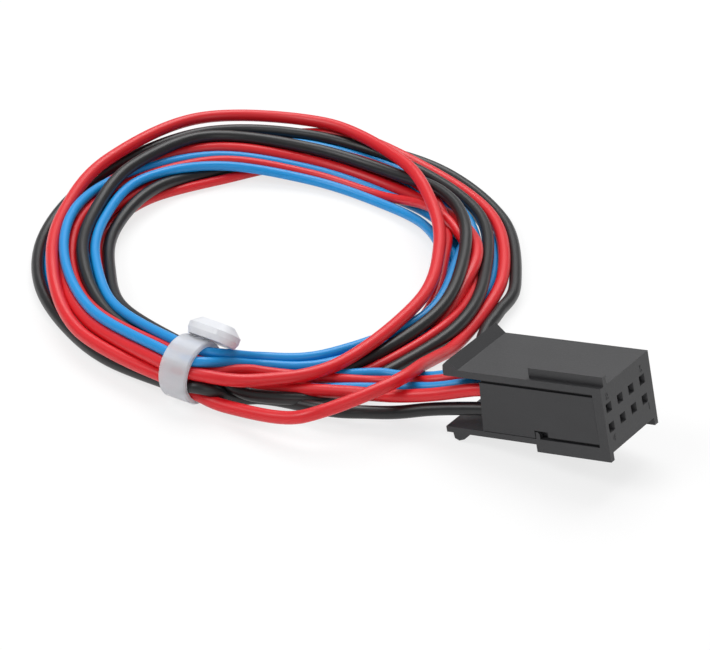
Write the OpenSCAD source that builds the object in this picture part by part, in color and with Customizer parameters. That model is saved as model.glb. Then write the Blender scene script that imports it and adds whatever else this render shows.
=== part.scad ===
// Five-wire connector harness, coiled and strapped.
// An eight-way receptacle connector, five crimped wires wound into one coil, and a reusable strap.
// The part stands on z = 0, with its origin under the middle of the connector.
// The connector's own frame has x towards the mating face, y to its far side and z up, with its
// origin in the middle of the terminal field at the mating face.

/* [Terminals] */
// Distance between terminal centres, in both directions
pin_pitch = 2.54; // [2.5:0.01:2.6]
// Square opening for a pin, in the mating face and in the carrier
pin_hole = 0.8; // [0.7:0.05:0.9]
// Width of the tapered lead-in at the mating face
lead_in = 1.2; // [1.0:0.05:1.4]
// Width of a square terminal channel
channel = 1.75; // [1.7:0.01:1.8]
// Outer width of a contact's box
contact_w = 1.5; // [1.4:0.05:1.6]
// Length of a contact's box
contact_box = 5.6; // [4.5:0.1:6]
// Thickness of the contact's strip
strip_t = 0.2; // [0.15:0.05:0.25]

/* [Outer housing] */
// Middle of the terminal field to the housing's near side
near_w = 5; // [4.95:0.05:5.5]
// Middle of the terminal field to the housing's far side
far_w = 5.9; // [5.7:0.1:7]
// Length of the top plate, from the mating face to the finger ridge
plate_l = 20.1; // [19:0.1:22]
// Height of the top plate's upper face over the terminal field's middle
top_z = 4.15; // [4:0.05:4.6]
// Depth of the floor's lower face under the terminal field's middle
floor_z = 4.4; // [4.2:0.05:5.2]
// Thickness of the top plate
plate_t = 0.9; // [0.7:0.05:1]
// Thickness of the floor
floor_t = 0.75; // [0.6:0.05:0.85]
// Thickness of the mating face
face_t = 1.3; // [1.1:0.1:1.8]
// Height of the finger ridge over the top plate
ridge_h = 1.2; // [0.8:0.1:1.6]
// Length of the finger ridge
ridge_l = 2.1; // [1.6:0.1:2.6]
// Length of the floor, from the mating face to its tail
floor_l = 23.1; // [22.6:0.1:25]
// Length of the guide rails on the top plate and under the floor
rail_l = 10.3; // [8:0.1:10.5]
// Thickness of the guide rails
rail_t = 0.75; // [0.5:0.05:1]
// Height of the guide rail on the top plate
rail_h = 1.2; // [0.6:0.1:1.4]
// Height of the guide rails under the floor
under_rail_h = 1; // [0.6:0.1:1.4]
// Inset of the top guide rail from the near side
rail_inset = 0.7; // [0:0.1:1.2]
// Depth of the rear feet under the floor
foot_h = 1; // [0.8:0.05:1.5]
// Width of each rear foot
foot_w = 1.6; // [1:0.1:2.4]
// Width of the latch finger, along the connector
latch_w = 0.55; // [0.4:0.05:0.6]

/* [Contact carrier] */
// Length of the contact carrier along its top
carrier_l = 15.8; // [15.4:0.1:17]
// Running clearance between the carrier and the outer housing
slide_gap = 0.05; // [0.03:0.01:0.07]
// Thickness of the carrier's front wall
front_wall = 0.8; // [0.6:0.1:1.2]
// Travel of the outer housing from locked to released
lock_travel = 1; // [0.8:0.1:1.2]
// Depth of the shadow step along the carrier's near edges
step = 0.35; // [0.2:0.05:0.4]

/* [Lie] */
// How far the wires hold the connector's nose up, in degrees
nose_up = 11.5; // [8:0.5:14]

/* [Wires] */
// Diameter of a thick wire, red or black
thick_d = 1.65; // [1.5:0.05:1.7]
// Diameter of a thin wire, blue or red
thin_d = 1.3; // [1.1:0.05:1.4]
// Diameter of a stripped conductor, as a share of its wire
core_share = 0.55; // [0.5:0.01:0.6]
// Length of the conductor that is stripped for the crimp
strip_l = 3; // [2.6:0.1:3.2]
// Length of the stripped conductor at a free end
bare_l = 5; // [3:0.5:7]

/* [Strap] */
// Inside diameter of the strap round the bundle
strap_bore = 6.8; // [6.6:0.1:7.4]
// Thickness of the strap band
strap_t = 0.6; // [0.5:0.05:0.8]
// Width of the strap band
strap_w = 4; // [3.5:0.1:4.5]
// Length of the strap button, along the bundle
button_l = 7; // [6:0.1:8]
// Width of the strap button
button_w = 4.6; // [4:0.1:5.4]
// Height of the strap button
button_h = 2.4; // [2:0.1:3]
// Diameter of the strap button's stem
stem_d = 1.4; // [1.2:0.1:1.8]
// Radial clearance of the stem in the band
stem_gap = 0.05; // [0.03:0.01:0.08]
// Clearance between the button and the band
button_gap = 0.05; // [0.03:0.01:0.1]
// Shift of the button along the bundle, from the middle of the band
button_shift = 1.2; // [0:0.1:1.5]
// Place of the button round the band, in degrees up from the level
button_angle = 48; // [40:1:60]

/* [Hidden] */

moulding = "#2c2c2e";
tin = "#b9bcc0";
copper = "#b06a3c";
white = "#e8eaf0";

eps = 0.01;
columns = 4;

// Side outlines in the connector's frame, as [x, z]
tail_x = -floor_l;
ridge_x = -plate_l;
foot_x = -21.5;
foot_outline = [[foot_x + 1.7, -floor_z], [foot_x + 0.8, -floor_z - foot_h * 0.75],
                [foot_x, -floor_z - foot_h], [foot_x - 0.6, -floor_z - foot_h * 0.75],
                [foot_x - 0.7, -floor_z]];
plate_outline = [[0, top_z], [ridge_x, top_z], [ridge_x - 0.57 * ridge_l, top_z + ridge_h],
                 [ridge_x - 0.95 * ridge_l, top_z + 0.42 * ridge_h], [ridge_x - ridge_l, top_z - 0.1],
                 [ridge_x - ridge_l, top_z - plate_t], [0, top_z - plate_t]];

// Place of the connector: nose up, feet on the ground, and its box centred on the origin
function tilt_x(p) = p.x * cos(nose_up) - p.y * sin(nose_up);
function tilt_z(p) = p.x * sin(nose_up) + p.y * cos(nose_up);
rail_bottom = -floor_z - under_rail_h;
side_points = concat(foot_outline, plate_outline,
                     [[tail_x, -floor_z], [0, rail_bottom], [0, -floor_z]]);
seat_z = -min([for (p = side_points) tilt_z(p)]);
seat_x = -(min([for (p = side_points) tilt_x(p)]) + max([for (p = side_points) tilt_x(p)])) / 2;
seat_y = (near_w - far_w) / 2;

// A point of the connector's frame in the part's frame
function seat(p) = [tilt_x([p.x, p.z]) + seat_x, p.y + seat_y, tilt_z([p.x, p.z]) + seat_z];

// Terminal positions: 1 to 4 in the lower row and 5 to 8 in the upper row, numbered towards the near side
function cell_y(n) = (1.5 - (n - 1) % columns) * pin_pitch;
function cell_z(n) = n > columns ? pin_pitch / 2 : -pin_pitch / 2;

// The carrier and what it holds
carrier_front = -face_t - slide_gap;
carrier_rear = carrier_front - carrier_l;
carrier_lean = 0.6;
carrier_top = top_z - plate_t - slide_gap;
carrier_bottom = -floor_z + floor_t + slide_gap;
far_wall = 0.85;
carrier_near = -near_w + slide_gap;
carrier_far = far_w - far_wall - slide_gap;
latch_x = -10.15;
latch_top = -2.75;
notch_gap = 0.15;

// The contact and its crimps, along the connector
box_front = carrier_front - front_wall - 0.25;
box_rear = box_front - contact_box;
wire_crimp_x = box_rear - 1.3;
wire_crimp_l = 2.2;
insulation_x = wire_crimp_x - strip_l + 0.3;
grip_x = insulation_x - 0.6;
grip_l = 2;
squeeze = 0.05;

// Wires: position, diameter, colour and the points that each follows from the carrier to the coil
black = "#1b1b1c";
red = "#d3222a";
blue = "#1b7fc4";
exit_x = carrier_rear - carrier_lean - 0.6;
lead_4 = [[-12.8, -5.6, 3.3], [-17, -7.4, 2.3], [-20.5, -9.1, 2], [-24.5, -11.2, 2]];
lead_5 = [[-14.2, -1.2, 5.4], [-17.5, -1.6, 4.3], [-20.5, -2.1, 3.7], [-24, -3.2, 3.4]];
lead_6 = [[-13.8, -2.6, 5.6], [-17.5, -3.1, 4.4], [-20.5, -3.7, 3.7], [-24, -4.9, 3.2]];
lead_7 = [[-13.4, -4, 5.4], [-17.5, -4.6, 4.3], [-20.5, -5.3, 3.5], [-24, -6.6, 3]];
lead_8 = [[-12.8, -5.5, 5.3], [-17, -6.6, 4.2], [-20.5, -7.4, 3.6], [-24.5, -8.5, 3.2]];

// Route of the black wire's tail: it comes to lie along the connector's far side
tail_route = [[-21, 22, 1], [-20, 17.5, 0.95], [-18, 13.2, 0.9], [-14.6, 10.1, 0.9],
              [-11.5, 9.2, 0.9], [-10, 9.2, 0.9], [-8.5, 9.2, 0.9]];

// The coil: [x, y, width, height] of the bundle at stations round its loop, the first under the strap
strap_x = -42;
strap_y = -15.4;
strap_z = strap_bore / 2 + strap_t;
// Height up to which the bundle lies on the ground: above it, the strap lifts it
lying_height = 5.4;
coil_stations = [[strap_x, strap_y, 6.6, 6.6], [-33, -13.5, 10.5, 4.6], [-26.5, -6.5, 12, 4.4],
                 [-24, 5, 11, 4.4], [-25, 17.5, 10.5, 4.4], [-30, 31, 12, 4.4],
                 [-40, 42, 10.5, 4.6], [-54.5, 46.5, 9.5, 4.8], [-68.5, 41.5, 11, 4.8],
                 [-78, 31, 12, 4.6], [-80, 17.5, 11.5, 4.6], [-76, 5, 10, 4.6],
                 [-67.5, -5.5, 8.5, 4.8], [-55, -13, 7.2, 5.4]];

// Curve and sweep maths
function unit(v) = v / norm(v);
// Smooth curve between b and c, with a and d as the points outside them
function curve(a, b, c, d, t) = 0.5 * (2 * b + (c - a) * t + (2 * a - 5 * b + 4 * c - d) * t * t
                                       + (3 * b - a - 3 * c + d) * t * t * t);
function open_path(p, steps) = concat(
    [for (i = [0:len(p) - 2], k = [0:steps - 1])
        curve(p[max(i - 1, 0)], p[i], p[i + 1], p[min(i + 2, len(p) - 1)], k / steps)],
    [p[len(p) - 1]]);
function loop_path(p, steps) = let (n = len(p))
    [for (i = [0:n - 1], k = [0:steps - 1])
        curve(p[(i + n - 1) % n], p[i], p[(i + 1) % n], p[(i + 2) % n], k / steps)];
function heading(p, i) = unit(p[min(i + 1, len(p) - 1)] - p[max(i - 1, 0)]);
function ring(c, dir, r, sides) = let (across = unit(cross(dir, [0, 0, 1])), up = cross(across, dir))
    [for (k = [0:sides - 1]) let (a = 360 * k / sides) c + r * (across * cos(a) + up * sin(a))];

// A round tube of diameter d along a list of points
module tube(points, d, sides = 8) {
    n = len(points);
    rings = [for (i = [0:n - 1]) each ring(points[i], heading(points, i), d / 2, sides)];
    walls = [for (i = [0:n - 2], k = [0:sides - 1]) let (a = i * sides + k, b = i * sides + (k + 1) % sides)
        each [[a, a + sides, b + sides], [a, b + sides, b]]];
    ends = [[for (k = [0:sides - 1]) k], [for (k = [sides - 1:-1:0]) (n - 1) * sides + k]];
    polyhedron(rings, concat(walls, ends), convexity = 4);
}

// The closed outer shape of the coil: a rounded section that changes along a closed loop
module coil_shape(stations, steps, sides = 12) {
    path = loop_path(stations, steps);
    n = len(path);
    points = [for (i = [0:n - 1]) let (
            before = path[(i + n - 1) % n], after = path[(i + 1) % n],
            dir = unit([after[0] - before[0], after[1] - before[1]]),
            lifted = max(0, (path[i][3] - lying_height) / (stations[0][3] - lying_height)),
            lift = (strap_z - path[i][3] / 2) * lifted)
        each [for (k = [0:sides - 1]) let (a = 360 * (k + 0.5) / sides,
                across = path[i][2] / 2 * cos(a) / cos(180 / sides),
                up = path[i][3] / 2 * sin(a) / cos(180 / sides))
            [path[i][0] + dir.y * across, path[i][1] - dir.x * across,
             path[i][3] / 2 + up + lift]]];
    walls = [for (i = [0:n - 1], k = [0:sides - 1]) let (j = (i + 1) % n, m = (k + 1) % sides)
        each [[i * sides + k, j * sides + k, j * sides + m], [i * sides + k, j * sides + m, i * sides + m]]];
    polyhedron(points, walls, convexity = 6);
}

// Puts what is drawn in the connector's frame in its place
module in_place() {
    translate([seat_x, seat_y, seat_z]) rotate([0, -nose_up, 0]) children();
}

// An outline of the side, carried from y0 to y1
module slab(outline, y0, y1) {
    translate([0, y1, 0]) rotate([90, 0, 0]) linear_extrude(y1 - y0) polygon(outline);
}

module block(low, high) {
    translate(low) cube(high - low);
}

// Square hole through the mating face, tapered at its mouth on all four sides
module mouth(n) {
    depth = 0.5;
    y = cell_y(n);
    z = cell_z(n);
    block([-face_t - eps, y - pin_hole / 2, z - pin_hole / 2], [eps, y + pin_hole / 2, z + pin_hole / 2]);
    taper = [[-depth, -pin_hole / 2], [eps, -lead_in / 2], [eps, lead_in / 2], [-depth, pin_hole / 2]];
    intersection() {
        translate([0, y, z - pin_pitch / 2]) linear_extrude(pin_pitch) polygon(taper);
        translate([0, 0, z]) slab(taper, y - pin_pitch / 2, y + pin_pitch / 2);
    }
}

module outer_housing() color(moulding) in_place() difference() {
    union() {
        slab(plate_outline, -near_w, far_w);
        slab([[0, -floor_z], [tail_x, -floor_z], [tail_x, -floor_z + floor_t], [0, -floor_z + floor_t]],
             -near_w, far_w);
        slab(foot_outline, -near_w, -near_w + foot_w);
        slab(foot_outline, far_w - foot_w, far_w);
        block([-face_t, -near_w, -floor_z], [0, far_w, top_z]);
        block([carrier_rear, far_w - far_wall, -floor_z], [0, far_w, top_z]);
        // Guide rails: one on the top plate and one under each side of the floor
        block([-rail_l, rail_inset - near_w, top_z - eps],
              [0, rail_inset - near_w + rail_t, top_z + rail_h]);
        block([-rail_l, -near_w, rail_bottom], [0, -near_w + rail_t, -floor_z + eps]);
        block([-rail_l, far_w - rail_t, rail_bottom], [0, far_w, -floor_z + eps]);
        latch_finger();
    }
    for (n = [1:2 * columns]) mouth(n);
}

// Upright finger on the floor that holds the carrier, with a bevelled head
module latch_finger() {
    root = -floor_z + floor_t - eps;
    slab([[latch_x, root], [latch_x + latch_w, root], [latch_x + latch_w, latch_top - 0.25],
          [latch_x + latch_w - 0.2, latch_top], [latch_x, latch_top]],
         -near_w, -near_w + rail_t);
}

module contact_carrier() color(moulding) in_place() difference() {
    slab([[carrier_front, carrier_bottom], [carrier_front, carrier_top], [carrier_rear, carrier_top],
          [carrier_rear - carrier_lean, carrier_bottom]], carrier_near, carrier_far);
    for (n = [1:2 * columns]) translate([0, cell_y(n), cell_z(n)]) {
        block([carrier_rear - 3, -channel / 2, -channel / 2],
              [carrier_front - front_wall, channel / 2, channel / 2]);
        block([carrier_rear, -pin_hole / 2, -pin_hole / 2], [0, pin_hole / 2, pin_hole / 2]);
    }
    // Shadow steps along the near edges, above and below
    block([carrier_rear - 3, carrier_near - 1, carrier_top - step],
          [0, carrier_near + step, carrier_top + 1]);
    block([latch_x + latch_w, carrier_near - 1, carrier_bottom - 1],
          [0, carrier_near + step, carrier_bottom + step]);
    // Notch for the latch finger and its travel
    block([latch_x - notch_gap, carrier_near - 1, carrier_bottom - 1],
          [latch_x + latch_w + lock_travel + notch_gap, carrier_near + rail_t, latch_top + notch_gap]);
}

// Crimp contact in position n, for a wire of diameter d
module contact(n, d) color(tin) in_place() translate([0, cell_y(n), cell_z(n)]) {
    core = d * core_share;
    inner = contact_w / 2 - strip_t;
    low = -contact_w / 2;
    difference() {
        block([box_rear, low, low], [box_front, -low, -low]);
        block([box_rear - eps, -inner, -inner], [box_front + eps, inner, inner]);
    }
    block([grip_x - grip_l, -0.4, low], [box_rear + eps, 0.4, low + strip_t]);
    block([wire_crimp_x - wire_crimp_l, -0.2, low], [wire_crimp_x, 0.2, -core / 2 - 0.1]);
    barrel(wire_crimp_x, wire_crimp_l, core + 0.45, core - squeeze);
    barrel(grip_x, grip_l, min(d + 0.1, channel - 0.02), d - squeeze);
}

// Closed crimp barrel from x back over a length
module barrel(x, l, outer, inner) {
    translate([x, 0, 0]) rotate([0, -90, 0]) difference() {
        cylinder(d = outer, h = l, $fn = 32);
        translate([0, 0, -1]) cylinder(d = inner, h = l + 2, $fn = 32);
    }
}

module conductor(n, d) color(copper) in_place()
    translate([insulation_x, cell_y(n), cell_z(n)]) rotate([0, 90, 0])
        cylinder(d = d * core_share, h = strip_l, $fn = 32);

// Wire in position n: straight through its channel, then along its lead to the coil
module wire(n, d, paint, lead) {
    middle_x = (insulation_x + exit_x) / 2;
    straight = [for (x = [insulation_x, middle_x, exit_x]) seat([x, cell_y(n), cell_z(n)])];
    color(paint) tube(open_path(concat(straight, lead), 2), d);
}

module wire_coil() color(blue) coil_shape(coil_stations, 4);

module black_tail() color(black) tube(open_path(tail_route, 2), thick_d);

// Stripped end of the black wire, level and in line with its tail
module black_tail_conductor() color(copper) {
    last = tail_route[len(tail_route) - 1];
    path = open_path(tail_route, 2);
    dir = heading(path, len(path) - 1);
    translate(last) rotate([0, 90, atan2(dir.y, dir.x)])
        cylinder(d = thick_d * core_share, h = bare_l, $fn = 32);
}

module strap_band() color(white) translate([strap_x, strap_y, strap_z]) difference() {
    rotate([0, 90, 0]) rotate_extrude($fn = 96) translate([strap_bore / 2, 0]) polygon([
        [0, -strap_w / 2], [strap_t * 0.7, -strap_w / 2], [strap_t, -strap_w / 2 + strap_t * 0.3],
        [strap_t, strap_w / 2 - strap_t * 0.3], [strap_t * 0.7, strap_w / 2], [0, strap_w / 2]]);
    rotate([button_angle - 90, 0, 0]) cylinder(d = stem_d + 2 * stem_gap, h = strap_bore, $fn = 32);
}

// Oval domed button on a stem, its stem through the band
module strap_button() color(white) translate([strap_x, strap_y, strap_z]) rotate([button_angle - 90, 0, 0]) {
    seat_r = strap_bore / 2 + strap_t + button_gap;
    translate([0, 0, strap_bore / 2 + button_gap]) cylinder(d = stem_d, h = strap_t + button_h / 2, $fn = 32);
    translate([button_shift, 0, seat_r]) hull() for (side = [-1, 1])
        translate([side * (button_l - button_w) / 2, 0, 0]) {
            cylinder(d = button_w - 0.6, h = eps, $fn = 32);
            translate([0, 0, 0.3 * button_h]) cylinder(d = button_w, h = 0.3 * button_h, $fn = 32);
            translate([0, 0, button_h - eps]) cylinder(d = 0.5 * button_w, h = eps, $fn = 32);
        }
}

outer_housing();
contact_carrier();
contact(4, thick_d);  // contact_4
contact(5, thin_d);  // contact_5
contact(6, thin_d);  // contact_6
contact(7, thin_d);  // contact_7
contact(8, thick_d);  // contact_8
conductor(4, thick_d);  // conductor_4
conductor(5, thin_d);  // conductor_5
conductor(6, thin_d);  // conductor_6
conductor(7, thin_d);  // conductor_7
conductor(8, thick_d);  // conductor_8
wire(4, thick_d, black, lead_4);  // wire_4_black
wire(5, thin_d, blue, lead_5);  // wire_5_blue
wire(6, thin_d, red, lead_6);  // wire_6_red
wire(7, thin_d, blue, lead_7);  // wire_7_blue
wire(8, thick_d, red, lead_8);  // wire_8_red
wire_coil();
black_tail();
black_tail_conductor();
strap_band();
strap_button();
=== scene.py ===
"""Dresses the coiled five-wire connector harness: wires, connector, strap, floor, light and camera.

Lengths in the tables below are millimetres, as a harness drawing gives them, and MM turns them into metres.
The part lies on z = 0 with its origin under the middle of the connector.
"""

import logging
import math
from dataclasses import dataclass, field
from enum import Enum
from typing import Any

import bpy
import numpy as np
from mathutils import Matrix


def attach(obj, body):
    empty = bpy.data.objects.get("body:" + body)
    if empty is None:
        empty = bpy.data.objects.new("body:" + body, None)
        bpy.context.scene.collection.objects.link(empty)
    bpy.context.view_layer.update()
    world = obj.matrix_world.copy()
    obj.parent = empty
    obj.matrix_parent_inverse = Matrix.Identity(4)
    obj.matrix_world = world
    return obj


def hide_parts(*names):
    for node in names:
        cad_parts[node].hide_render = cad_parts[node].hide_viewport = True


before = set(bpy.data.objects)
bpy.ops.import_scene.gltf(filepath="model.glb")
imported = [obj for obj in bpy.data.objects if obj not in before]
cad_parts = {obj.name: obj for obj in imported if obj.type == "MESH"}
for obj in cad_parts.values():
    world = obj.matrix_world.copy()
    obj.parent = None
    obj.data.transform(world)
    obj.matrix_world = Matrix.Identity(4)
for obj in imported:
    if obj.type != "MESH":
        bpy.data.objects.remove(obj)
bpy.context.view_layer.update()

MM = 0.001
HARNESS, HOUSING = "harness", "housing"
TUBE_POINT = 0.7  # millimetres between the rings of a wire

log = logging.getLogger("harness")


class Gauge(Enum):
    """Diameters over the insulation, in millimetres."""

    THICK = 1.65
    THIN = 1.3


class Paint(Enum):
    """Insulation colours of the loom, as linear red, green and blue."""

    RED = (0.68, 0.009, 0.016)
    BLUE = (0.004, 0.27, 0.66)
    BLACK = (0.009, 0.009, 0.01)


# --- Node maths -------------------------------------------------------------------------------


class Value:
    """A shader socket that adds a Math node for each operator used on it."""

    def __init__(self, tree: "NodeTree", socket: Any) -> None:
        """Wraps a socket of that tree."""
        self.tree = tree
        self.socket = socket

    def _math(self, operation: str, *values: Any) -> "Value":
        """Adds one Math node.

        Args:
            operation: Blender's name of the operation.
            values: Numbers or values, in the order of the node's inputs.

        Returns:
            The node's result.
        """
        return self.tree.node("ShaderNodeMath", {"operation": operation}, dict(enumerate(values)))

    def __add__(self, other: Any) -> "Value":
        """Sum."""
        return self._math("ADD", self, other)

    def __radd__(self, other: Any) -> "Value":
        """Sum, with a number on the left."""
        return self._math("ADD", other, self)

    def __mul__(self, other: Any) -> "Value":
        """Product."""
        return self._math("MULTIPLY", self, other)

    def __rmul__(self, other: Any) -> "Value":
        """Product, with a number on the left."""
        return self._math("MULTIPLY", other, self)

    def larger(self, other: Any) -> "Value":
        """The larger of the two."""
        return self._math("MAXIMUM", self, other)


class NodeTree:
    """One material's node tree."""

    def __init__(self, name: str) -> None:
        """Makes an empty material.

        Args:
            name: The material's name.
        """
        self.material = bpy.data.materials.new(name)
        self.material.use_nodes = True
        self.nodes = self.material.node_tree.nodes
        self.links = self.material.node_tree.links
        self.nodes.clear()
        self.output = self.nodes.new("ShaderNodeOutputMaterial")

    def close(self, surface: Value) -> Any:
        """Puts a shader on the output and returns the material."""
        self.links.new(surface.socket, self.output.inputs["Surface"])
        return self.material

    def node(self, kind: str, settings: dict[str, Any], inputs: dict[Any, Any],
             output: Any = 0) -> Value:
        """Adds any node.

        Args:
            kind: The node's type.
            settings: Attributes set on the node before its sockets.
            inputs: Socket name or number to a number, colour or value.
            output: Name or number of the socket that is returned.

        Returns:
            The wanted output.
        """
        made = self.nodes.new(kind)
        for key, value in settings.items():
            setattr(made, key, value)
        for key, value in inputs.items():
            if isinstance(value, Value):
                self.links.new(value.socket, made.inputs[key])
            else:
                made.inputs[key].default_value = value
        return Value(self, made.outputs[output])


class Shader(NodeTree):
    """A material with a Principled shader on its output."""

    def __init__(self, name: str) -> None:
        """Makes the material and its shader."""
        super().__init__(name)
        self.surface = self.nodes.new("ShaderNodeBsdfPrincipled")
        self.close(Value(self, self.surface.outputs[0]))

    def set(self, **values: Any) -> None:
        """Sets or links the shader's sockets.

        Args:
            values: Socket name, with _ for a space in it, to a number, colour or value.
        """
        for key, value in values.items():
            socket = self.surface.inputs[key.replace("_", " ")]
            if isinstance(value, Value):
                self.links.new(value.socket, socket)
            else:
                socket.default_value = value

    def place(self, source: str, scale: tuple[float, float, float]) -> Value:
        """Coordinates of the Object or UV kind, scaled."""
        where = self.node("ShaderNodeTexCoord", {}, {}, source)
        return self.node("ShaderNodeMapping", {}, {"Vector": where, "Scale": scale})

    def noise(self, where: Value, scale: float, detail: float = 3.0) -> Value:
        """Noise from 0 to 1 at those coordinates."""
        return self.node("ShaderNodeTexNoise", {}, {"Vector": where, "Scale": scale, "Detail": detail})

    def blend(self, share: Any, low: tuple[float, ...], high: tuple[float, ...]) -> Value:
        """Mixes two colours by a share from 0 to 1."""
        colours = {0: share, 6: (*low, 1), 7: (*high, 1)}
        return self.node("ShaderNodeMix", {"data_type": "RGBA"}, colours, 2)

    def bump(self, height: Value, strength: float, distance: float) -> None:
        """Feeds a bump of that height to the shader's normal."""
        inputs = {"Height": height, "Strength": strength, "Distance": distance}
        self.set(Normal=self.node("ShaderNodeBump", {}, inputs))


# --- Finishes ---------------------------------------------------------------------------------


def shade(colour: tuple[float, ...], factor: float) -> tuple[float, ...]:
    """The colour made lighter or darker by a factor."""
    return tuple(min(1.0, c * factor) for c in colour)


@dataclass(frozen=True)
class Insulation:
    """Satin extruded insulation, with the faint ripple of its strands along it."""

    paint: Paint
    roughness: float = 0.36

    def material(self) -> Any:
        """Makes the material.

        Returns:
            A material that reads the wire's UV map, whose V runs along the wire in metres.
        """
        shader = Shader("insulation_" + self.paint.name.lower())
        along = shader.place("UV", (1.0, 1.0, 1.0))
        stretched = shader.place("UV", (5.0, 90.0, 1.0))
        cloud = shader.noise(along, 60.0)
        streak = shader.noise(stretched, 2.0, 4.0)
        tone = shader.blend(cloud, shade(self.paint.value, 0.86), shade(self.paint.value, 1.12))
        shader.set(Base_Color=tone, Roughness=self.roughness - 0.08 + 0.2 * streak, IOR=1.5)
        ripple = shader.noise(shader.place("UV", (4.0, 700.0, 1.0)), 1.0, 2.0)
        shader.bump(ripple + 0.5 * streak, 0.25, 0.00004)
        return shader.material


@dataclass(frozen=True)
class Moulding:
    """Glass-filled moulding with a fine spark-eroded grain."""

    name: str
    colour: tuple[float, float, float]
    roughness: float
    grain: float

    def material(self) -> Any:
        """Makes the material.

        Returns:
            A material on Object coordinates.
        """
        shader = Shader(self.name)
        fine = shader.noise(shader.place("Object", (1.0, 1.0, 1.0)), 5200.0, 3.0)
        flow = shader.noise(shader.place("Object", (60.0, 220.0, 220.0)), 1.0, 3.0)
        tone = shader.blend(flow, shade(self.colour, 0.85), shade(self.colour, 1.2))
        shader.set(Base_Color=tone, Roughness=self.roughness - 0.07 + 0.14 * fine)
        shader.bump(fine, self.grain, 0.00005)
        return shader.material


@dataclass(frozen=True)
class Metal:
    """Plated or bare metal with fine drawing marks along its length."""

    name: str
    colour: tuple[float, float, float]
    roughness: float

    def material(self) -> Any:
        """Makes the material.

        Returns:
            A metallic material on Object coordinates.
        """
        shader = Shader(self.name)
        marks = shader.noise(shader.place("Object", (300.0, 6000.0, 6000.0)), 1.0, 3.0)
        tone = shader.blend(marks, shade(self.colour, 0.82), shade(self.colour, 1.1))
        shader.set(Base_Color=tone, Roughness=self.roughness - 0.05 + 0.15 * marks, Metallic=1.0)
        shader.bump(marks, 0.2, 0.00002)
        return shader.material


@dataclass(frozen=True)
class MilkyPlastic:
    """Milky moulded plastic that lets the wires' colours through."""

    name: str
    clear: float

    def material(self) -> Any:
        """Makes the material.

        Returns:
            A translucent white material on Object coordinates.
        """
        shader = Shader(self.name)
        cloud = shader.noise(shader.place("Object", (1.0, 1.0, 1.0)), 420.0, 3.0)
        fine = shader.noise(shader.place("Object", (1.0, 1.0, 1.0)), 2600.0, 2.0)
        tone = shader.blend(cloud, (0.80, 0.82, 0.87), (0.92, 0.93, 0.96))
        shader.set(Base_Color=tone, Roughness=0.24 + 0.16 * cloud, Transmission_Weight=self.clear, IOR=1.42)
        shader.bump(fine, 0.12, 0.00006)
        return shader.material


# --- Curves and surfaces ----------------------------------------------------------------------


def smooth_path(points: np.ndarray, step: float) -> np.ndarray:
    """Runs a Catmull-Rom curve through points and spaces it evenly.

    Between b and c, with a and d outside them, the curve is half of
    2b + (c - a)t + (2a - 5b + 4c - d)t^2 + (3b - a - 3c + d)t^3.

    Args:
        points: The points to pass, one a row.
        step: Distance between the points returned.

    Returns:
        Points along the curve, about step apart.
    """
    a = np.vstack([points[:1], points[:-2]])
    b, c = points[:-1], points[1:]
    d = np.vstack([points[2:], points[-1:]])
    t = np.linspace(0.0, 1.0, 24, endpoint=False)[None, :, None]
    a, b, c, d = (p[:, None, :] for p in (a, b, c, d))
    curve = 0.5 * (2 * b + (c - a) * t + (2 * a - 5 * b + 4 * c - d) * t**2 + (3 * b - a - 3 * c + d) * t**3)
    return evenly(np.vstack([curve.reshape(-1, 3), points[-1:]]), step)


def evenly(line: np.ndarray, step: float) -> np.ndarray:
    """Spaces a line's points evenly.

    Args:
        line: Points, one a row.
        step: Wanted distance between the new points.

    Returns:
        Points on the same line, about step apart.
    """
    along = distances(line)
    at = np.linspace(0.0, along[-1], max(2, round(along[-1] / step) + 1))
    return np.stack([np.interp(at, along, line[:, k]) for k in range(3)], axis=1)


def distances(line: np.ndarray) -> np.ndarray:
    """Distance of each point from the line's start, along it."""
    return np.concatenate([[0.0], np.cumsum(np.linalg.norm(np.diff(line, axis=0), axis=1))])


def frames_along(line: np.ndarray) -> tuple[np.ndarray, np.ndarray, np.ndarray]:
    """Works out the directions of a tube's rings.

    Args:
        line: Points, one a row, on a line that is nowhere upright.

    Returns:
        Unit vectors at each point: along the line, level across it, and square to both.
    """
    ahead = np.gradient(line, axis=0)
    ahead /= np.linalg.norm(ahead, axis=1, keepdims=True)
    across = np.cross(ahead, [0.0, 0.0, 1.0])
    across /= np.linalg.norm(across, axis=1, keepdims=True)
    return ahead, across, np.cross(across, ahead)


def mesh_object(name: str, points: np.ndarray, faces: list[tuple[int, ...]], smooth: bool = True) -> Any:
    """Makes a mesh object at the origin.

    Args:
        name: The piece's name.
        points: Corners in metres, one a row.
        faces: Corner numbers of each face.
        smooth: Whether its faces are shaded smooth.

    Returns:
        The new object, linked to the scene.
    """
    mesh = bpy.data.meshes.new(name)
    mesh.from_pydata(points.tolist(), [], faces)
    mesh.polygons.foreach_set("use_smooth", np.full(len(faces), smooth))
    mesh.update()
    made = bpy.data.objects.new(name, mesh)
    bpy.context.scene.collection.objects.link(made)
    return made


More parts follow.
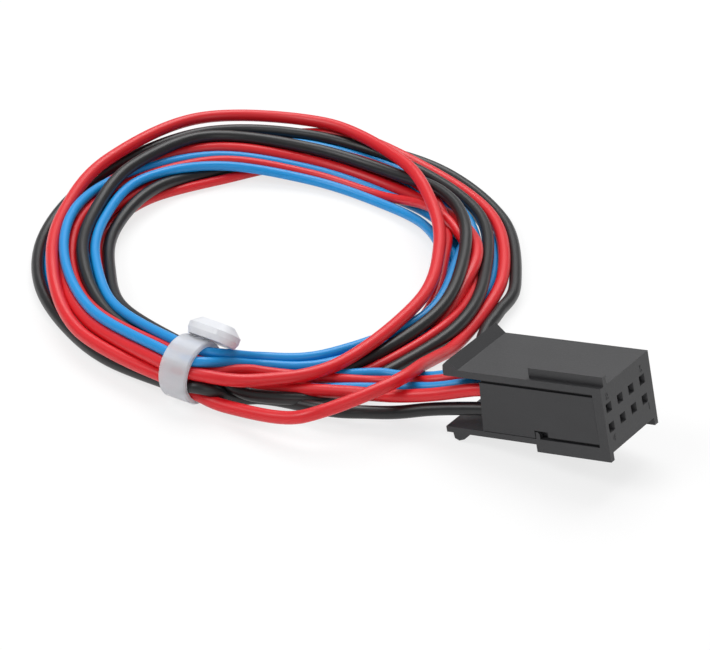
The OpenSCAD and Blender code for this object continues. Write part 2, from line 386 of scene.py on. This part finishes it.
def tube_shape(line: np.ndarray, radius: float, sides: int) -> tuple[np.ndarray, list[tuple[int, ...]]]:
    """Works out a round tube.

    Point (i, k) is line[i] + r * (across * cos(a) + up * sin(a)), with a = 2 pi k / sides.
    The first and last rings draw in and stand out a little, so that the cut end has an edge.

    Args:
        line: Centreline in metres.
        radius: Radius in metres.
        sides: Points round the tube.

    Returns:
        The corners, and the corner numbers of each face, with the two ends last.
    """
    end_reach, end_size = 0.12, 0.78
    ahead, across, up = frames_along(line)
    ends = np.array([-end_reach, end_reach])[:, None] * radius * ahead[[0, -1]]
    line = np.vstack([line[:1] + ends[:1], line, line[-1:] + ends[1:]])
    across, up = (np.vstack([v[:1], v, v[-1:]]) for v in (across, up))
    size = np.full(len(line), radius)
    size[[0, -1]] *= end_size
    angle = 2 * np.pi * np.arange(sides) / sides
    offset = across[:, None] * np.cos(angle)[None, :, None] + up[:, None] * np.sin(angle)[None, :, None]
    points = (line[:, None] + size[:, None, None] * offset).reshape(-1, 3)
    ring = np.arange(len(line) - 1)[:, None] * sides
    side = np.arange(sides)[None, :]
    turn = (side + 1) % sides
    walls = np.stack([ring + side, ring + sides + side, ring + sides + turn, ring + turn], axis=-1)
    ends = [tuple(range(sides)), tuple(range(len(points) - 1, len(points) - sides - 1, -1))]
    return points, [tuple(face) for face in walls.reshape(-1, 4).tolist()] + ends


def tube(name: str, line: np.ndarray, radius: float, sides: int = 20) -> Any:
    """Makes a round tube with a UV map along it.

    Args:
        name: The piece's name.
        line: Centreline in metres.
        radius: Radius in metres.
        sides: Points round the tube.

    Returns:
        The tube. Its UV map's U goes round it, and V is the distance along it in metres.
    """
    points, faces = tube_shape(line, radius, sides)
    made = mesh_object(name, points, faces)
    along = distances(points.reshape(-1, sides, 3).mean(axis=1))
    low, high = np.repeat(along[:-1], sides), np.repeat(along[1:], sides)
    left = np.tile(np.arange(sides) / sides, len(along) - 1)
    right = left + 1 / sides
    uv = np.stack([left, low, left, high, right, high, right, low], axis=-1).reshape(-1, 2)
    uv = np.vstack([uv, np.zeros((2 * sides, 2))])
    layer = made.data.uv_layers.new(name="along")
    layer.data.foreach_set("uv", uv.astype(np.float32).ravel())
    return made


def dress(piece: Any, material: Any) -> None:
    """Gives a piece one material.

    Args:
        piece: The piece, or one of the frame's nodes.
        material: Its material.
    """
    piece.data.materials.clear()
    piece.data.materials.append(material)
    log.info("%s: %s", piece.name, material.name)


# --- The loom ---------------------------------------------------------------------------------

Lane = tuple[float, float]
Point = tuple[float, float, float]


@dataclass(frozen=True)
class Seat:
    """Where the connector lies: its nose is turned up about the level axis across it."""

    nose_up: float = math.radians(11.5)
    face: Point = (10.751, -0.45, 9.578)
    pitch: float = 2.54
    columns: int = 4

    def axes(self) -> np.ndarray:
        """Directions out of the mating face, across it and up it, one a row."""
        c, s = math.cos(self.nose_up), math.sin(self.nose_up)
        return np.array([[c, 0.0, s], [0.0, 1.0, 0.0], [-s, 0.0, c]])

    def cavity(self, number: int, x: float = 0.0) -> np.ndarray:
        """Finds a point on a cavity's axis.

        Args:
            number: The cavity. The second half of them is the upper row.
            x: Distance in front of the mating face.

        Returns:
            The point in the part's frame, in millimetres.
        """
        y = (1.5 - (number - 1) % self.columns) * self.pitch
        z = self.pitch / 2 if number > self.columns else -self.pitch / 2
        c, s = math.cos(self.nose_up), math.sin(self.nose_up)
        return np.array([x * c - z * s, y, x * s + z * c]) + self.face


@dataclass(frozen=True)
class Bore:
    """The inside of the strap's band, which holds the wires together. Its axis runs along X."""

    centre: Point = (-42.0, -15.4, 4.0)
    diameter: float = 6.8
    reach: float = 2.5
    margin: float = 0.3
    slack: float = 0.02

    def point(self, side: float, grip: Lane) -> Point:
        """Finds a wire's place in the band.

        Args:
            side: Distance to the right of the band's middle.
            grip: Distance from the band's axis, and the angle up from level, away from the coil.

        Returns:
            The point, in millimetres.
        """
        x, y, z = self.centre
        turn = math.radians(grip[1])
        return x + side, y - grip[0] * math.cos(turn), z + grip[0] * math.sin(turn)

    def hold(self, place: np.ndarray, radius: np.ndarray, free: np.ndarray) -> None:
        """Draws the free points under the band into its bore.

        Args:
            place: Points, changed in place.
            radius: The wire's radius at each.
            free: How far each may move, from 0 to 1.
        """
        x, y, z = self.centre
        under = (np.abs(place[:, 0] - x) < self.reach + self.margin) & (place[:, 1] < 0) & (free[:, 0] > 0)
        offset = place[under][:, 1:] - (y, z)
        reach = np.linalg.norm(offset, axis=1)
        limit = self.diameter / 2 - radius[under] - self.slack
        place[under, 1:] = (y, z) + offset * np.minimum(1.0, limit / np.maximum(reach, 1e-6))[:, None]


@dataclass(frozen=True)
class Settling:
    """Lets the wires push each other apart, stay on the ground and fill the strap.

    Two points closer than the sum of their radii move apart by half of what is missing. The
    moves are then averaged along each wire, so that it stays a smooth curve. What is left over
    after the last round stays.
    """

    rounds: int = 90
    lead_points: int = 30
    ease_points: float = 8.0
    gain: float = 1.3
    search_every: int = 4
    search_reach: float = 2.6
    own_neighbours: int = 12
    weights: tuple[float, ...] = (1.0, 4.0, 8.0, 10.0, 8.0, 4.0, 1.0)

    def freedom(self, count: int, held: int) -> np.ndarray:
        """How far each point of a wire may move, from 0 at its lead and its held end to 1."""
        at = np.arange(count)
        start = np.clip((at - self.lead_points) / self.ease_points, 0, 1)
        return start * np.clip((count - 1 - held - at) / self.ease_points, 0, 1)

    def near(self, place: np.ndarray, owner: np.ndarray, index: np.ndarray) -> tuple[np.ndarray, np.ndarray]:
        """Finds pairs of points that may touch.

        Args:
            place: All the wires' points.
            owner: Number of each point's wire.
            index: Number of each point along its wire.

        Returns:
            The first and the second point of each pair that aren't neighbours on one wire.
        """
        square = (place**2).sum(1)
        away = square[:, None] + square[None] - 2 * place @ place.T
        first, second = np.nonzero(np.triu(away < self.search_reach**2, 1))
        far_along = np.abs(index[first] - index[second]) > self.own_neighbours
        apart = (owner[first] != owner[second]) | far_along
        return first[apart], second[apart]

    def part(self, place: np.ndarray, radius: np.ndarray, first: np.ndarray,
             second: np.ndarray) -> np.ndarray:
        """Works out how the points move apart.

        Args:
            place: All the wires' points.
            radius: The wire's radius at each.
            first: The first point of each pair.
            second: The second point of each pair.

        Returns:
            Each point's mean push.
        """
        gap = place[first] - place[second]
        far = np.maximum(np.linalg.norm(gap, axis=1), 1e-6)
        short = np.maximum(radius[first] + radius[second] - far, 0.0)
        push = gap / far[:, None] * (0.5 * short)[:, None]
        move = np.zeros_like(place)
        count = np.full(len(place), 1e-9)
        for who, sign in ((first, 1.0), (second, -1.0)):
            np.add.at(move, who, sign * push)
            np.add.at(count, who, short > 0)
        return self.gain * move / np.maximum(count, 1.0)[:, None]

    def smooth(self, shift: np.ndarray) -> np.ndarray:
        """Averages one wire's moves along it, by the weights."""
        kernel = np.array(self.weights) / sum(self.weights)
        side = len(self.weights) // 2
        padded = np.pad(shift, ((side, side), (0, 0)), mode="edge")
        return np.stack([np.convolve(padded[:, k], kernel, "valid") for k in range(3)], axis=1)

    def run(self, lines: list[np.ndarray], radii: list[float], held: list[int],
            bore: Bore) -> list[np.ndarray]:
        """Settles the wires.

        Args:
            lines: Centrelines.
            radii: The wires' radii.
            held: How many points at each line's end don't move.
            bore: The strap's bore.

        Returns:
            The settled centrelines.
        """
        sizes = [len(line) for line in lines]
        owner = np.repeat(np.arange(len(lines)), sizes)
        index = np.concatenate([np.arange(n) for n in sizes])
        radius = np.array(radii)[owner]
        free = np.concatenate([self.freedom(n, end) for n, end in zip(sizes, held)])[:, None]
        start = np.concatenate(lines)
        place = start.copy()
        for step in range(self.rounds):
            if step % self.search_every == 0:
                first, second = self.near(place, owner, index)
            place += self.part(place, radius, first, second) * free
            bore.hold(place, radius, free)
            shift = place - start
            for wire in range(len(lines)):
                shift[owner == wire] = self.smooth(shift[owner == wire])
            place = start + shift * free
            place[:, 2] = np.where(free[:, 0] > 0, np.maximum(place[:, 2], radius), place[:, 2])
        return [place[owner == wire] for wire in range(len(lines))]


@dataclass(frozen=True)
class Wire:
    """One wire of the loom, from its crimp to its bare end.

    Each lane is a radius from the coil's centre and a height, at the coil's angles in turn. Grips are
    the wire's places in the strap: distance and angle from the band's axis, on its right and left.
    Crossing is the angles, radii and heights at which it crosses the leads on its first turn.
    """

    cavity: int
    paint: Paint
    gauge: Gauge
    length: float
    lead: list[Point]
    entry: Lane
    grips: list[tuple[Lane, Lane]]
    passes: list[list[Lane]]
    tail: list[Point] = field(default_factory=list)
    crossing: list[Point] = field(default_factory=list)

    @property
    def node(self) -> str:
        """Name of the wire's CAD node."""
        return f"wire_{self.cavity}_{self.paint.name.lower()}"


@dataclass
class Loom:
    """The five wires, crimped into the connector and wound into one coil of three turns."""

    centre: tuple[float, float] = (-55.0, 18.0)
    angles: tuple[float, ...] = (260, 230, 200, 170, 140, 110, 80, 50, 20, 350, 320, 304)
    seat: Seat = Seat()
    bore: Bore = Bore()
    settling: Settling = Settling()
    crimp_x: float = -12.0
    exit_x: float = -18.35
    step: float = 1.0
    held_tail: float = 42.0
    held_end: int = 2
    bare: float = 5.0
    bare_inside: float = 0.2
    core_share: float = 0.55
    twist_pitch: float = 6.0

    @staticmethod
    def wires() -> list[Wire]:
        """The wires, with the routes chosen for them.

        Returns:
            One Wire for each filled cavity, its lead's points as the part's source has them.
        """
        return [
            Wire(8, Paint.RED, Gauge.THICK, 0.60,
                 [(-12.8, -5.5, 5.3), (-17, -6.6, 4.2), (-20.5, -7.4, 3.6), (-24.5, -8.5, 3.2)],
                 (36.8, 2.4),
                 [((2.5, -92), (2.5, -96)), ((2.5, -50), (2.5, -14)), ((2.5, 30), (2.5, 26))],
                 [[(30.0, 1.7), (27.2, 1.3), (26.5, 1.0), (27.5, 1.0), (30.6, 1.0), (31.2, 2.6),
                   (30.7, 1.6), (31.8, 1.4), (32.4, 1.4), (34.8, 1.6)],
                  [(32.4, 3.0), (27.6, 4.0), (26.8, 4.0), (29.6, 4.1), (34.0, 4.2), (31.4, 4.4),
                   (26.2, 4.7), (23.3, 4.6), (23.8, 4.4), (28.0, 4.4), (36.3, 4.5), (38.7, 4.6)],
                  [(30.6, 3.2), (26.8, 2.6), (26.0, 2.4), (26.4, 2.4), (26.8, 2.4), (25.3, 1.4),
                   (25.0, 0.9), (25.6, 2.0), (27.9, 2.3), (31.2, 1.9)]],
                 crossing=[(339.5, 38.5, 3.2), (327.0, 45.3, 6.0), (314.6, 46.5, 4.5), (307.8, 44.4, 3.0)]),
            Wire(4, Paint.BLACK, Gauge.THICK, 0.59,
                 [(-12.8, -5.6, 3.3), (-17, -7.4, 2.3), (-20.5, -9.1, 2), (-24.5, -11.2, 2)],
                 (36.2, 1.0),
                 [((2.5, -10), (2.5, -56)), ((1.1, 185), (1.1, 185)), ((2.5, 150), (2.5, 140))],
                 [[(31.2, 1.0), (29.4, 0.9), (29.3, 0.9), (30.2, 2.0), (32.2, 2.6), (29.5, 2.8),
                   (28.8, 2.3), (29.5, 2.2), (29.1, 2.2), (32.6, 2.3), (37.6, 2.7), (38.0, 2.6)],
                  [(28.0, 3.4), (24.1, 3.6), (23.1, 3.6), (25.2, 4.0), (27.5, 3.6), (25.8, 2.9),
                   (24.9, 2.5), (26.2, 3.1), (27.0, 3.2), (30.5, 3.2), (34.8, 2.4), (34.4, 1.6)],
                  [(25.6, 3.0), (21.2, 1.5), (20.7, 1.2), (21.7, 1.3), (23.6, 1.0), (29.6, 0.9),
                   (32.6, 0.9), (33.1, 0.9), (33.8, 0.9)]],
                 [(-21, 22, 1), (-20, 17.5, 0.95), (-18, 13.2, 0.9), (-14.6, 10.1, 0.9),
                  (-11.5, 9.2, 0.9), (-10, 9.2, 0.9), (-8.5, 9.2, 0.9)]),
            Wire(5, Paint.BLUE, Gauge.THIN, 0.55,
                 [(-14.2, -1.2, 5.4), (-17.5, -1.6, 4.3), (-20.5, -2.1, 3.7), (-24, -3.2, 3.4)],
                 (35.0, 2.4),
                 [((1.3, -45), (1.3, -45)), ((2.7, 70), (2.7, 62)), ((2.6, -130), (2.6, -130))],
                 [[(29.0, 1.2), (25.6, 0.8), (24.9, 0.8), (25.6, 0.8), (28.2, 0.8), (27.4, 0.9),
                   (26.8, 0.8), (25.0, 0.8), (26.2, 1.5), (30.2, 1.8), (33.0, 2.8), (32.5, 2.9)],
                  [(30.0, 4.2), (26.4, 4.2), (25.5, 4.2), (25.9, 2.7), (25.2, 2.5), (23.7, 1.4),
                   (23.5, 0.8), (24.2, 1.9), (27.6, 0.9), (31.0, 0.9), (36.4, 0.8), (35.4, 0.9)],
                  [(27.0, 2.2), (23.4, 2.3), (24.0, 2.0), (24.8, 1.9), (27.6, 2.1), (28.0, 1.6),
                   (27.6, 1.9), (27.9, 1.9), (28.4, 0.9), (31.6, 0.9)]]),
            Wire(6, Paint.RED, Gauge.THIN, 0.54,
                 [(-13.8, -2.6, 5.6), (-17.5, -3.1, 4.4), (-20.5, -3.7, 3.7), (-24, -4.9, 3.2)],
                 (34.9, 3.4),
                 [((1.0, 20), (1.0, 20)), ((1.5, 90), (1.5, 90)), ((2.7, 178), (2.7, 175))],
                 [[(29.0, 2.6), (22.9, 1.6), (22.6, 1.9), (23.0, 1.7), (26.0, 1.2), (27.0, 2.2),
                   (26.4, 2.2), (25.3, 2.2), (25.0, 3.4), (29.0, 2.2), (33.4, 1.6), (32.0, 2.0)],
                  [(28.6, 3.8), (24.9, 2.9), (24.4, 2.8), (24.9, 1.9), (23.9, 2.4), (22.4, 1.3),
                   (22.2, 0.8), (23.6, 3.1), (28.2, 2.0), (31.6, 2.2), (36.2, 2.0), (36.0, 2.0)],
                  [(25.4, 1.8), (21.9, 1.7), (22.0, 0.8), (22.2, 0.7), (22.3, 0.7), (27.0, 0.8),
                   (26.2, 0.8), (25.2, 0.8), (24.8, 0.8), (28.6, 0.8)]]),
            Wire(7, Paint.BLUE, Gauge.THIN, 0.55,
                 [(-13.4, -4, 5.4), (-17.5, -4.6, 4.3), (-20.5, -5.3, 3.5), (-24, -6.6, 3)],
                 (35.8, 1.7),
                 [((1.1, -110), (1.1, -110)), ((2.7, 112), (2.7, 104)), ((2.6, -160), (2.6, -160))],
                 [[(27.6, 1.6), (24.0, 0.9), (23.6, 0.8), (24.2, 0.8), (29.5, 0.8), (28.6, 0.8),
                   (28.2, 0.8), (26.6, 1.6), (25.9, 2.9), (29.2, 3.1), (31.4, 3.2), (31.5, 3.4)],
                  [(26.5, 3.3), (22.6, 3.0), (21.7, 3.0), (23.4, 2.8), (22.7, 2.1), (21.2, 1.1),
                   (20.9, 0.7), (22.8, 0.9), (25.0, 0.8), (29.4, 0.7), (34.4, 0.7), (33.6, 0.8)],
                  [(29.6, 0.9), (27.8, 0.7), (27.8, 0.7), (29.0, 0.7), (31.6, 0.7), (32.2, 0.8),
                   (29.9, 0.8), (30.3, 0.8), (30.7, 0.9), (33.0, 0.9)]]),
        ]

    def _around(self, angle: float, lane: Lane) -> Point:
        """Finds a wire's place in the coil.

        Args:
            angle: Degrees round the coil.
            lane: Distance from the coil's centre, and height.

        Returns:
            The point, in millimetres.
        """
        turn = math.radians(angle)
        x, y = self.centre
        return x + lane[0] * math.cos(turn), y + lane[0] * math.sin(turn), lane[1]

    def route(self, wire: Wire) -> np.ndarray:
        """Works out a wire's points: its lead, then each turn from the strap round to the strap.

        Args:
            wire: The wire.

        Returns:
            The points that it passes, in millimetres.
        """
        middle = (self.crimp_x + self.exit_x) / 2
        points = [tuple(self.seat.cavity(wire.cavity, x)) for x in (self.crimp_x, middle, self.exit_x)]
        points += wire.lead + [self._around(self.angles[-1], wire.entry)]
        for turn, ((right, left), lanes) in enumerate(zip(wire.grips, wire.passes)):
            points += [self.bore.point(self.bore.reach, right), self.bore.point(-self.bore.reach, left)]
            points += [self._around(angle, lane) for angle, lane in zip(self.angles, lanes)]
            if turn == 0:
                points += [self._around(angle, (out, height)) for angle, out, height in wire.crossing]
        return np.array(points + wire.tail, float)

    def build(self) -> None:
        """Routes and settles the five wires, then makes each with its bare end."""
        wires = self.wires()
        lines = [smooth_path(self.route(wire), self.step) for wire in wires]
        held = [round(self.held_tail / self.step) if wire.tail else self.held_end for wire in wires]
        lines = self.settling.run(lines, [wire.gauge.value / 2 for wire in wires], held, self.bore)
        copper = Metal("bare_copper", (0.72, 0.33, 0.17), 0.3).material()
        paints = {paint: Insulation(paint).material() for paint in Paint}
        for wire, line in zip(wires, lines):
            self.make(wire, evenly(line, TUBE_POINT) * MM, paints[wire.paint], copper)

    def make(self, wire: Wire, line: np.ndarray, paint: Any, copper: Any) -> None:
        """Args:
            wire: The wire.
            line: Its settled centreline in metres.
            paint: Material of the insulation.
            copper: Material of the bare end.
        """
        piece = tube(wire.node + "_full", line, wire.gauge.value / 2 * MM)
        dress(piece, paint)
        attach(piece, HARNESS)
        end = self.bare_end(wire, line)
        dress(end, copper)
        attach(end, HARNESS)
        worn = [end]
        if wire.tail:
            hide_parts(wire.node, "wire_coil", "black_tail")
            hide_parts("black_tail_conductor")
            worn += [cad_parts["strap_band"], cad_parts["strap_button"]]
        else:
            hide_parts(wire.node, "wire_coil")
        tuple(self.seat.cavity(wire.cavity, self.exit_x) * MM)
        log.info("%s: %.0f mm", piece.name, distances(line)[-1] / MM)

    def bare_end(self, wire: Wire, line: np.ndarray) -> Any:
        """Makes the stripped conductor past a wire's end: six strands twisted round a seventh.

        Strand k follows the axis at a third of the conductor's diameter, at the angle 60 k plus
        the twist times the distance along it.

        Args:
            wire: The wire.
            line: Its centreline in metres.

        Returns:
            The strands as one mesh.
        """
        outer, rings, sides = 6, 22, 8
        strand = wire.gauge.value * self.core_share / 2 * MM / 3
        ahead, across, up = (directions[-1] for directions in frames_along(line))
        at = np.linspace(-self.bare_inside, self.bare, rings)[:, None] * MM
        axis = line[-1] + ahead * at
        twist = at / (self.twist_pitch * MM) * 2 * np.pi
        angles = [twist + k * math.pi / 3 for k in range(outer)]
        centres = [axis + 2 * strand * (across * np.cos(a) + up * np.sin(a)) for a in angles] + [axis]
        points, faces = np.empty((0, 3)), []
        for centre in centres:
            corners, walls = tube_shape(centre, strand, sides)
            faces += [tuple(len(points) + corner for corner in wall) for wall in walls]
            points = np.vstack([points, corners])
        return mesh_object(f"bare_end_{wire.cavity}", points, faces)


# --- Connector and strap ----------------------------------------------------------------------


@dataclass
class Connector:
    """The outer housing, the contact carrier, and the contacts and conductors in it."""

    housing: Moulding = Moulding("housing_grain", (0.026, 0.026, 0.028), 0.46, 0.35)
    carrier: Moulding = Moulding("carrier_smooth", (0.02, 0.02, 0.022), 0.44, 0.2)
    tin: Metal = Metal("tin_plate", (0.62, 0.63, 0.65), 0.3)
    copper: Metal = Metal("crimped_copper", (0.72, 0.33, 0.17), 0.32)
    number_size: float = 1.25
    number_height: float = 0.04
    numbers: tuple[tuple[int, float, float], ...] = (
        (5, 0.1, 1.35), (8, 0.0, 1.35), (1, 0.75, -1.3), (4, 0.3, -1.55))
    seat: Seat = Seat()

    def number(self, cavity: int, across: float, up: float, finish: Any) -> None:
        """Raises a cavity's number on the mating face.

        Args:
            cavity: The cavity whose number is written.
            across: How far the number's middle is across from the cavity's.
            up: How far it is above it.
            finish: The face's material.
        """
        text = bpy.data.curves.new("number", "FONT")
        text.body = str(cavity)
        text.size, text.extrude = self.number_size, self.number_height
        text.align_x, text.align_y = "CENTER", "CENTER"
        writing = bpy.data.objects.new("number", text)
        bpy.context.scene.collection.objects.link(writing)
        mesh = writing.evaluated_get(bpy.context.evaluated_depsgraph_get()).to_mesh()
        flat = np.empty(len(mesh.vertices) * 3)
        mesh.vertices.foreach_get("co", flat)
        faces = [tuple(face.vertices) for face in mesh.polygons]
        bpy.data.objects.remove(writing)
        out, right, top = self.seat.axes()
        x, y, z = flat.reshape(-1, 3).T[:, :, None]
        points = self.seat.cavity(cavity) + (x + across) * right + (y + up) * top + z * out
        piece = mesh_object(f"cavity_number_{cavity}", points * MM, faces, False)
        dress(piece, finish)
        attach(piece, HOUSING)

    def build(self) -> None:
        """Dresses the connector's CAD nodes."""
        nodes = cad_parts
        grained = self.housing.material()
        dress(nodes["outer_housing"], grained)
        for cavity, across, up in self.numbers:
            self.number(cavity, across, up, grained)
        dress(nodes["contact_carrier"], self.carrier.material())
        tin, copper = self.tin.material(), self.copper.material()
        for name, node in nodes.items():
            if name.startswith("contact_") and name != "contact_carrier":
                dress(node, tin)
            if name.startswith("conductor_"):
                dress(node, copper)


@dataclass
class Strap:
    """The reusable strap: a band round the bundle and its oval button."""

    band: MilkyPlastic = MilkyPlastic("strap_band_milky", 0.5)
    button: MilkyPlastic = MilkyPlastic("strap_button_milky", 0.25)

    def build(self) -> None:
        """Dresses the strap's CAD nodes."""
        dress(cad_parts["strap_band"], self.band.material())
        dress(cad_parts["strap_button"], self.button.material())


# --- Studio -----------------------------------------------------------------------------------


@dataclass(frozen=True)
class Lamp:
    """A square soft light: its place and side in metres, and its power in watts."""

    name: str
    place: Point
    side: float
    watts: float


@dataclass
class Studio:
    """Camera, soft lights and a white floor, in metres and degrees."""

    place: Point = (0.188687, -0.319167, 0.230094)
    turn: Point = (60.0, 0.0, 34.19)
    lens: float = 183.72
    aim: Point = (-0.03, 0.01, 0.0)
    lamps: tuple[Lamp, ...] = (
        Lamp("overhead", (-0.25, 0.45, 0.8), 0.7, 7.0),
        Lamp("key", (-0.45, -0.5, 0.75), 0.45, 3.4),
        Lamp("fill", (0.7, -0.5, 0.5), 0.5, 1.2))
    sky: float = 0.36
    floor_side: float = 3.0
    floor_drop: float = 0.0002
    paper_tone: float = 0.9
    paper_glow: float = 0.75

    def camera(self) -> None:
        """Makes the camera, with no shift and no depth of field."""
        data = bpy.data.cameras.new("camera")
        data.lens = self.lens
        data.sensor_width = 36.0
        data.clip_start, data.clip_end = 0.01, 10.0
        made = bpy.data.objects.new("camera", data)
        made.location = self.place
        made.rotation_euler = [math.radians(a) for a in self.turn]
        bpy.context.scene.collection.objects.link(made)
        bpy.context.scene.camera = made

    def light(self, lamp: Lamp) -> None:
        """Adds a lamp that faces the part.

        Args:
            lamp: The lamp.
        """
        data = bpy.data.lights.new(lamp.name, "AREA")
        data.size, data.energy = lamp.side, lamp.watts
        made = bpy.data.objects.new(lamp.name, data)
        made.location = lamp.place
        x, y, z = np.array(self.aim) - np.array(lamp.place)
        made.rotation_euler = (math.atan2(math.hypot(x, y), -z), 0.0, math.atan2(-x, y))
        bpy.context.scene.collection.objects.link(made)

    def build(self) -> None:
        """Makes the floor, the world and the lights."""
        side, low = self.floor_side, -self.floor_drop
        corners = np.array([[-side, -side, low], [side, -side, low], [side, side, low], [-side, side, low]])
        floor = mesh_object("floor", corners, [(0, 1, 2, 3)], False)
        dress(floor, self.paper())
        world = bpy.data.worlds.new("studio")
        bpy.context.scene.world = world
        world.use_nodes = True
        background = world.node_tree.nodes["Background"]
        background.inputs["Color"].default_value = (1, 1, 1, 1)
        background.inputs["Strength"].default_value = self.sky
        for lamp in self.lamps:
            self.light(lamp)
        bpy.context.scene.view_settings.view_transform = "Standard"
        log.info("studio: %d lamps", len(self.lamps))

    def paper(self) -> Any:
        """Makes the floor's material: white paper that the camera sees as plain white.

        Returns:
            A material whose glow shows only to the camera, to mirrors and through glass.
        """
        tree = NodeTree("paper")
        camera, glossy, through = (
            tree.node("ShaderNodeLightPath", {}, {}, f"Is {ray} Ray")
            for ray in ("Camera", "Glossy", "Transmission"))
        share = camera.larger(glossy).larger(through) * self.paper_glow
        matt = tree.node("ShaderNodeBsdfDiffuse", {}, {"Color": (*[self.paper_tone] * 3, 1)})
        glow = tree.node("ShaderNodeEmission", {}, {"Color": (1, 1, 1, 1)})
        return tree.close(tree.node("ShaderNodeMixShader", {}, {0: share, 1: matt, 2: glow}))


def main() -> None:
    """Builds the scene: camera and wires first, then the connector, the strap and the studio."""
    logging.basicConfig(level=logging.INFO, format="%(name)s: %(message)s")
    studio = Studio()
    studio.camera()
    Loom().build()
    Connector().build()
    Strap().build()
    studio.build()


if __name__ == "__main__":
    main()
